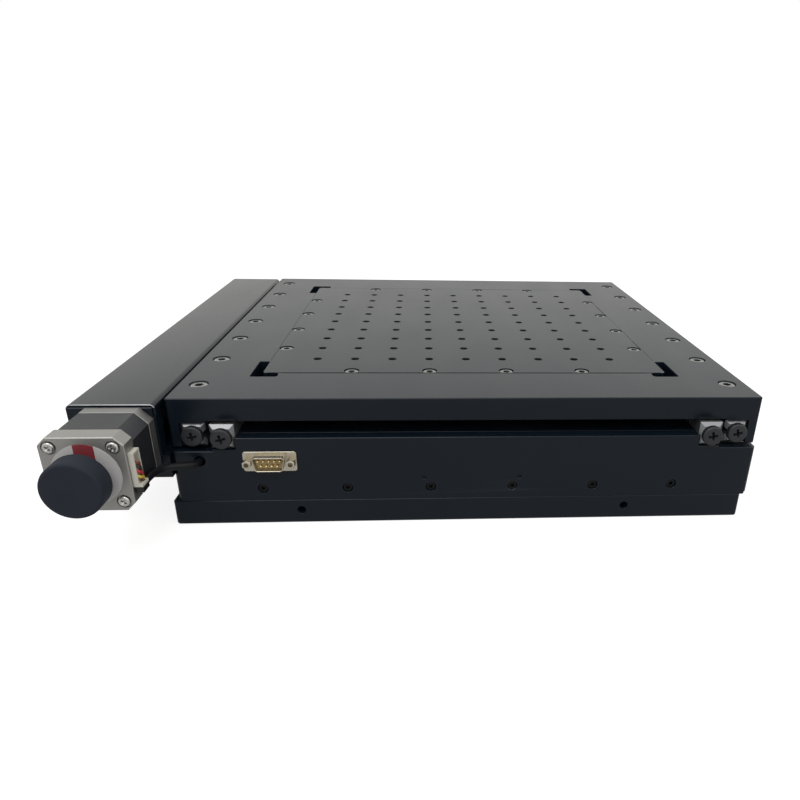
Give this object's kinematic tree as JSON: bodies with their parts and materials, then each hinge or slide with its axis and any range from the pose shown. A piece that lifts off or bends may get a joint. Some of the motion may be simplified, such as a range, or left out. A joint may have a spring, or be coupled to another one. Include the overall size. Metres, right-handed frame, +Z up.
{
  "type": "linear translation stage",
  "caption": "Low-profile motorised linear translation stage: a tapped moving table on crossed-roller rails over a wide base, driven by a side-mounted screw with a stepper motor and hand knob.",
  "frame": {"origin": "middle of the base body where it stands on the bench; the foot plate is 3.5 mm off it towards the drive", "axes": "+Z up, +Y along the travel away from the motor, +X to the right with the motor at the front left"},
  "size_m": [0.4015, 0.42, 0.08],
  "materials": {
    "black_anodised": "fine bead-blasted black anodising",
    "ground_steel": "ground and polished bearing steel",
    "screw_steel": "bright stainless steel",
    "black_oxide_steel": "black oxide",
    "cage_brass": "stamped brass strip",
    "bare_aluminium": "bead-blasted die-cast aluminium",
    "lamination_steel": "dark oxide on stacked laminations",
    "knob_plastic": "fine matt moulding",
    "label_film": "silver polyester film, blank",
    "white_plastic": "natural white nylon",
    "cable_sheath": "matt black sleeve",
    "nickel_plate": "nickel plate",
    "black_plastic": "moulded",
    "gold_pins": "gold flash"
  },
  "bodies": {
    "base": {"base_plate": "black_anodised", "base_plate_screws": "screw_steel", "base_body": "black_anodised", "front_end_plate": "black_anodised", "rear_end_plate": "black_anodised", "end_plate_screws": "screw_steel", "dowel_pins": "ground_steel", "inner_rail_left": "ground_steel", "inner_rail_right": "ground_steel", "inner_rail_screws": "screw_steel", "base_rail_end_screws": "black_oxide_steel", "drive_bed": "black_anodised", "drive_bed_screws": "screw_steel", "drive_front_plate": "black_anodised", "drive_rear_plate": "black_anodised", "drive_plate_screws": "screw_steel", "drive_cover": "black_anodised", "cover_screws": "screw_steel", "front_bearing_block": "black_anodised", "rear_bearing_block": "black_anodised", "block_screws": "screw_steel", "bearing_outer_rings": "ground_steel", "limit_switches": "knob_plastic", "motor_front_flange": "bare_aluminium", "motor_stack": "lamination_steel", "motor_rear_bell": "bare_aluminium", "motor_screws": "screw_steel", "motor_mount_screws": "screw_steel", "motor_label": "label_film", "motor_connector": "white_plastic", "motor_cable": "cable_sheath", "connector_shell": "nickel_plate", "connector_insulator": "black_plastic", "connector_pins": "gold_pins", "connector_standoffs": "nickel_plate"},
    "table": {"table_plate": "black_anodised", "insert_plate": "black_anodised", "insert_screws": "screw_steel", "outer_rail_left": "ground_steel", "outer_rail_right": "ground_steel", "outer_rail_screws": "screw_steel", "table_rail_end_screws": "black_oxide_steel", "nut_bracket": "black_anodised", "bracket_screws": "screw_steel", "ball_nut": "ground_steel", "nut_screws": "screw_steel"},
    "cage_left": {"roller_cage_left": "cage_brass", "rollers_left": "ground_steel"},
    "cage_right": {"roller_cage_right": "cage_brass", "rollers_right": "ground_steel"},
    "drive_screw": {"ball_screw": "ground_steel", "shaft_coupling": "bare_aluminium", "motor_shaft": "ground_steel", "bearing_inner_rings": "ground_steel", "hand_knob": "knob_plastic", "lock_nut": "ground_steel"}
  },
  "joints": [
    {"name": "table_slide", "type": "slide", "parent": "base", "child": "table", "axis": [0, 1, 0], "range_m": [-0.054, 0.046]},
    {"name": "left_cage_slide", "type": "slide", "parent": "base", "child": "cage_left", "axis": [0, 1, 0], "range_m": [-0.027, 0.023]},
    {"name": "right_cage_slide", "type": "slide", "parent": "base", "child": "cage_right", "axis": [0, 1, 0], "range_m": [-0.027, 0.023]},
    {"name": "screw_spin", "type": "hinge", "parent": "base", "child": "drive_screw", "pos_m": [-0.2007, 0, 0.0562], "axis": [0, 1, 0], "range_deg": [-3312.5, 3888.5]}
  ],
  "couplings": [
    {"joint": "left_cage_slide", "follows": "table_slide", "ratio": 0.5},
    {"joint": "right_cage_slide", "follows": "table_slide", "ratio": 0.5},
    {"joint": "screw_spin", "follows": "table_slide", "rad_per_m": -1256.6}
  ]
}
